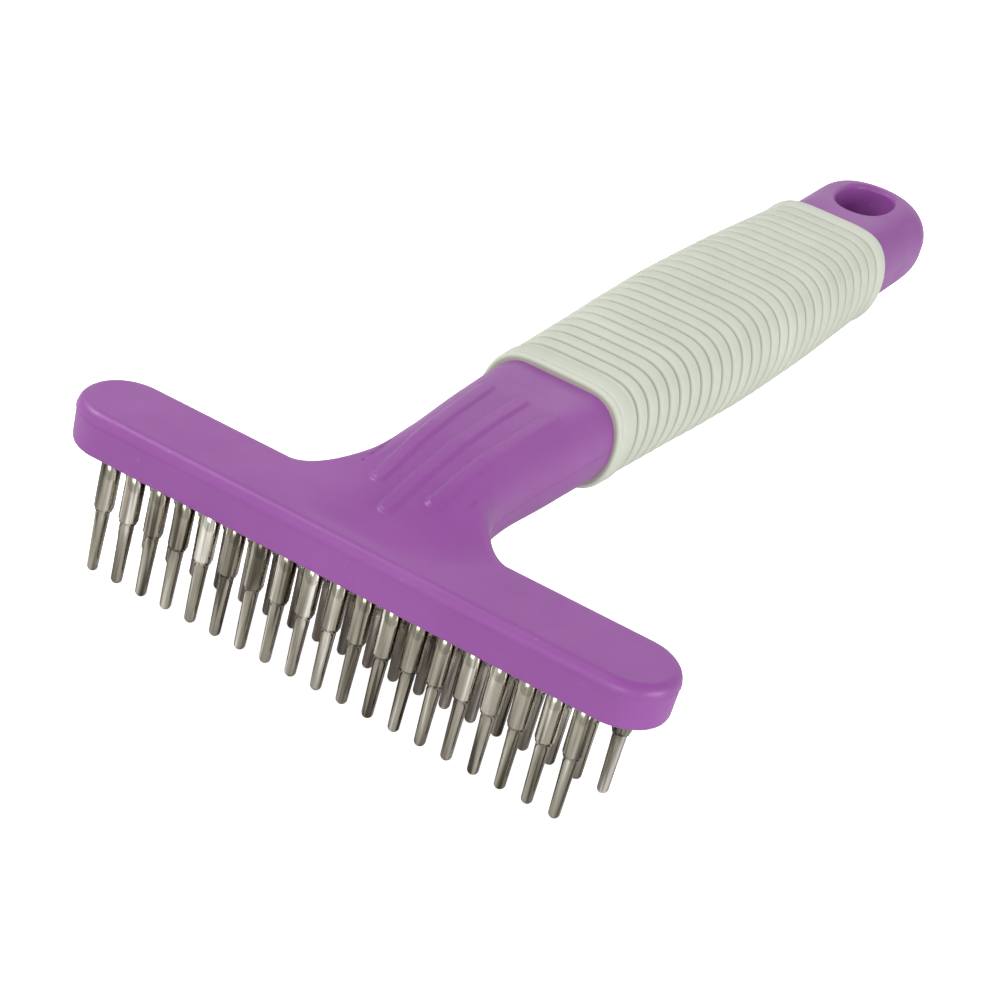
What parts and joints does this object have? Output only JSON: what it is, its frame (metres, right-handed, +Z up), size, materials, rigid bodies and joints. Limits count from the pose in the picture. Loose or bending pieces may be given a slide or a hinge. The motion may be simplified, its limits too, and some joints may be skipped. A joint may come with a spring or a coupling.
{
  "type": "undercoat rake",
  "caption": "T-shaped undercoat rake for dogs: two staggered rows of turning metal pins in a moulded head, with a ribbed rubber grip and a hanging hole.",
  "frame": {"origin": "centre of the bounding box's bottom face, at the height of the pin tips", "axes": "+X along the rows of pins, +Y from the pins towards the hanging hole, +Z up, away from the pin tips"},
  "size_m": [0.1018, 0.2159, 0.0331],
  "materials": {
    "body": "satin moulded violet",
    "grip": "pale grey-green, matt, ribbed",
    "sleeves": "nickel plated",
    "pins": "nickel plated, polished"
  },
  "bodies": {
    "rake": {"rake_body": "body", "grip_sleeve": "grip", "front_row_sleeves": "sleeves", "back_row_sleeves": "sleeves"},
    "front_pin_01_body": {"front_pin_01": "pins"},
    "front_pin_02_body": {"front_pin_02": "pins"},
    "front_pin_03_body": {"front_pin_03": "pins"},
    "front_pin_04_body": {"front_pin_04": "pins"},
    "front_pin_05_body": {"front_pin_05": "pins"},
    "front_pin_06_body": {"front_pin_06": "pins"},
    "front_pin_07_body": {"front_pin_07": "pins"},
    "front_pin_08_body": {"front_pin_08": "pins"},
    "front_pin_09_body": {"front_pin_09": "pins"},
    "front_pin_10_body": {"front_pin_10": "pins"},
    "front_pin_11_body": {"front_pin_11": "pins"},
    "front_pin_12_body": {"front_pin_12": "pins"},
    "front_pin_13_body": {"front_pin_13": "pins"},
    "front_pin_14_body": {"front_pin_14": "pins"},
    "front_pin_15_body": {"front_pin_15": "pins"},
    "front_pin_16_body": {"front_pin_16": "pins"},
    "front_pin_17_body": {"front_pin_17": "pins"},
    "front_pin_18_body": {"front_pin_18": "pins"},
    "front_pin_19_body": {"front_pin_19": "pins"},
    "back_pin_01_body": {"back_pin_01": "pins"},
    "back_pin_02_body": {"back_pin_02": "pins"},
    "back_pin_03_body": {"back_pin_03": "pins"},
    "back_pin_04_body": {"back_pin_04": "pins"},
    "back_pin_05_body": {"back_pin_05": "pins"},
    "back_pin_06_body": {"back_pin_06": "pins"},
    "back_pin_07_body": {"back_pin_07": "pins"},
    "back_pin_08_body": {"back_pin_08": "pins"},
    "back_pin_09_body": {"back_pin_09": "pins"},
    "back_pin_10_body": {"back_pin_10": "pins"},
    "back_pin_11_body": {"back_pin_11": "pins"},
    "back_pin_12_body": {"back_pin_12": "pins"},
    "back_pin_13_body": {"back_pin_13": "pins"},
    "back_pin_14_body": {"back_pin_14": "pins"},
    "back_pin_15_body": {"back_pin_15": "pins"},
    "back_pin_16_body": {"back_pin_16": "pins"},
    "back_pin_17_body": {"back_pin_17": "pins"},
    "back_pin_18_body": {"back_pin_18": "pins"},
    "back_pin_19_body": {"back_pin_19": "pins"},
    "back_pin_20_body": {"back_pin_20": "pins"}
  },
  "joints": [
    {"name": "front_pin_01_spin", "type": "hinge", "parent": "rake", "child": "front_pin_01_body", "pos_m": [-0.04077, -0.1057, 0.015], "axis": [0, 0, 1], "continuous": true},
    {"name": "front_pin_02_spin", "type": "hinge", "parent": "rake", "child": "front_pin_02_body", "pos_m": [-0.03624, -0.1057, 0.015], "axis": [0, 0, 1], "continuous": true},
    {"name": "front_pin_03_spin", "type": "hinge", "parent": "rake", "child": "front_pin_03_body", "pos_m": [-0.03171, -0.1057, 0.015], "axis": [0, 0, 1], "continuous": true},
    {"name": "front_pin_04_spin", "type": "hinge", "parent": "rake", "child": "front_pin_04_body", "pos_m": [-0.02718, -0.1057, 0.015], "axis": [0, 0, 1], "continuous": true},
    {"name": "front_pin_05_spin", "type": "hinge", "parent": "rake", "child": "front_pin_05_body", "pos_m": [-0.02265, -0.1057, 0.015], "axis": [0, 0, 1], "continuous": true},
    {"name": "front_pin_06_spin", "type": "hinge", "parent": "rake", "child": "front_pin_06_body", "pos_m": [-0.01812, -0.1057, 0.015], "axis": [0, 0, 1], "continuous": true},
    {"name": "front_pin_07_spin", "type": "hinge", "parent": "rake", "child": "front_pin_07_body", "pos_m": [-0.01359, -0.1057, 0.015], "axis": [0, 0, 1], "continuous": true},
    {"name": "front_pin_08_spin", "type": "hinge", "parent": "rake", "child": "front_pin_08_body", "pos_m": [-0.00906, -0.1057, 0.015], "axis": [0, 0, 1], "continuous": true},
    {"name": "front_pin_09_spin", "type": "hinge", "parent": "rake", "child": "front_pin_09_body", "pos_m": [-0.00453, -0.1057, 0.015], "axis": [0, 0, 1], "continuous": true},
    {"name": "front_pin_10_spin", "type": "hinge", "parent": "rake", "child": "front_pin_10_body", "pos_m": [0, -0.1057, 0.015], "axis": [0, 0, 1], "continuous": true},
    {"name": "front_pin_11_spin", "type": "hinge", "parent": "rake", "child": "front_pin_11_body", "pos_m": [0.00453, -0.1057, 0.015], "axis": [0, 0, 1], "continuous": true},
    {"name": "front_pin_12_spin", "type": "hinge", "parent": "rake", "child": "front_pin_12_body", "pos_m": [0.00906, -0.1057, 0.015], "axis": [0, 0, 1], "continuous": true},
    {"name": "front_pin_13_spin", "type": "hinge", "parent": "rake", "child": "front_pin_13_body", "pos_m": [0.01359, -0.1057, 0.015], "axis": [0, 0, 1], "continuous": true},
    {"name": "front_pin_14_spin", "type": "hinge", "parent": "rake", "child": "front_pin_14_body", "pos_m": [0.01812, -0.1057, 0.015], "axis": [0, 0, 1], "continuous": true},
    {"name": "front_pin_15_spin", "type": "hinge", "parent": "rake", "child": "front_pin_15_body", "pos_m": [0.02265, -0.1057, 0.015], "axis": [0, 0, 1], "continuous": true},
    {"name": "front_pin_16_spin", "type": "hinge", "parent": "rake", "child": "front_pin_16_body", "pos_m": [0.02718, -0.1057, 0.015], "axis": [0, 0, 1], "continuous": true},
    {"name": "front_pin_17_spin", "type": "hinge", "parent": "rake", "child": "front_pin_17_body", "pos_m": [0.03171, -0.1057, 0.015], "axis": [0, 0, 1], "continuous": true},
    {"name": "front_pin_18_spin", "type": "hinge", "parent": "rake", "child": "front_pin_18_body", "pos_m": [0.03624, -0.1057, 0.015], "axis": [0, 0, 1], "continuous": true},
    {"name": "front_pin_19_spin", "type": "hinge", "parent": "rake", "child": "front_pin_19_body", "pos_m": [0.04077, -0.1057, 0.015], "axis": [0, 0, 1], "continuous": true},
    {"name": "back_pin_01_spin", "type": "hinge", "parent": "rake", "child": "back_pin_01_body", "pos_m": [-0.04303, -0.0947, 0.015], "axis": [0, 0, 1], "continuous": true},
    {"name": "back_pin_02_spin", "type": "hinge", "parent": "rake", "child": "back_pin_02_body", "pos_m": [-0.0385, -0.0947, 0.015], "axis": [0, 0, 1], "continuous": true},
    {"name": "back_pin_03_spin", "type": "hinge", "parent": "rake", "child": "back_pin_03_body", "pos_m": [-0.03397, -0.0947, 0.015], "axis": [0, 0, 1], "continuous": true},
    {"name": "back_pin_04_spin", "type": "hinge", "parent": "rake", "child": "back_pin_04_body", "pos_m": [-0.02944, -0.0947, 0.015], "axis": [0, 0, 1], "continuous": true},
    {"name": "back_pin_05_spin", "type": "hinge", "parent": "rake", "child": "back_pin_05_body", "pos_m": [-0.02491, -0.0947, 0.015], "axis": [0, 0, 1], "continuous": true},
    {"name": "back_pin_06_spin", "type": "hinge", "parent": "rake", "child": "back_pin_06_body", "pos_m": [-0.02039, -0.0947, 0.015], "axis": [0, 0, 1], "continuous": true},
    {"name": "back_pin_07_spin", "type": "hinge", "parent": "rake", "child": "back_pin_07_body", "pos_m": [-0.01586, -0.0947, 0.015], "axis": [0, 0, 1], "continuous": true},
    {"name": "back_pin_08_spin", "type": "hinge", "parent": "rake", "child": "back_pin_08_body", "pos_m": [-0.01132, -0.0947, 0.015], "axis": [0, 0, 1], "continuous": true},
    {"name": "back_pin_09_spin", "type": "hinge", "parent": "rake", "child": "back_pin_09_body", "pos_m": [-0.00679, -0.0947, 0.015], "axis": [0, 0, 1], "continuous": true},
    {"name": "back_pin_10_spin", "type": "hinge", "parent": "rake", "child": "back_pin_10_body", "pos_m": [-0.00227, -0.0947, 0.015], "axis": [0, 0, 1], "continuous": true},
    {"name": "back_pin_11_spin", "type": "hinge", "parent": "rake", "child": "back_pin_11_body", "pos_m": [0.00227, -0.0947, 0.015], "axis": [0, 0, 1], "continuous": true},
    {"name": "back_pin_12_spin", "type": "hinge", "parent": "rake", "child": "back_pin_12_body", "pos_m": [0.00679, -0.0947, 0.015], "axis": [0, 0, 1], "continuous": true},
    {"name": "back_pin_13_spin", "type": "hinge", "parent": "rake", "child": "back_pin_13_body", "pos_m": [0.01132, -0.0947, 0.015], "axis": [0, 0, 1], "continuous": true},
    {"name": "back_pin_14_spin", "type": "hinge", "parent": "rake", "child": "back_pin_14_body", "pos_m": [0.01586, -0.0947, 0.015], "axis": [0, 0, 1], "continuous": true},
    {"name": "back_pin_15_spin", "type": "hinge", "parent": "rake", "child": "back_pin_15_body", "pos_m": [0.02039, -0.0947, 0.015], "axis": [0, 0, 1], "continuous": true},
    {"name": "back_pin_16_spin", "type": "hinge", "parent": "rake", "child": "back_pin_16_body", "pos_m": [0.02491, -0.0947, 0.015], "axis": [0, 0, 1], "continuous": true},
    {"name": "back_pin_17_spin", "type": "hinge", "parent": "rake", "child": "back_pin_17_body", "pos_m": [0.02944, -0.0947, 0.015], "axis": [0, 0, 1], "continuous": true},
    {"name": "back_pin_18_spin", "type": "hinge", "parent": "rake", "child": "back_pin_18_body", "pos_m": [0.03397, -0.0947, 0.015], "axis": [0, 0, 1], "continuous": true},
    {"name": "back_pin_19_spin", "type": "hinge", "parent": "rake", "child": "back_pin_19_body", "pos_m": [0.0385, -0.0947, 0.015], "axis": [0, 0, 1], "continuous": true},
    {"name": "back_pin_20_spin", "type": "hinge", "parent": "rake", "child": "back_pin_20_body", "pos_m": [0.04303, -0.0947, 0.015], "axis": [0, 0, 1], "continuous": true}
  ]
}
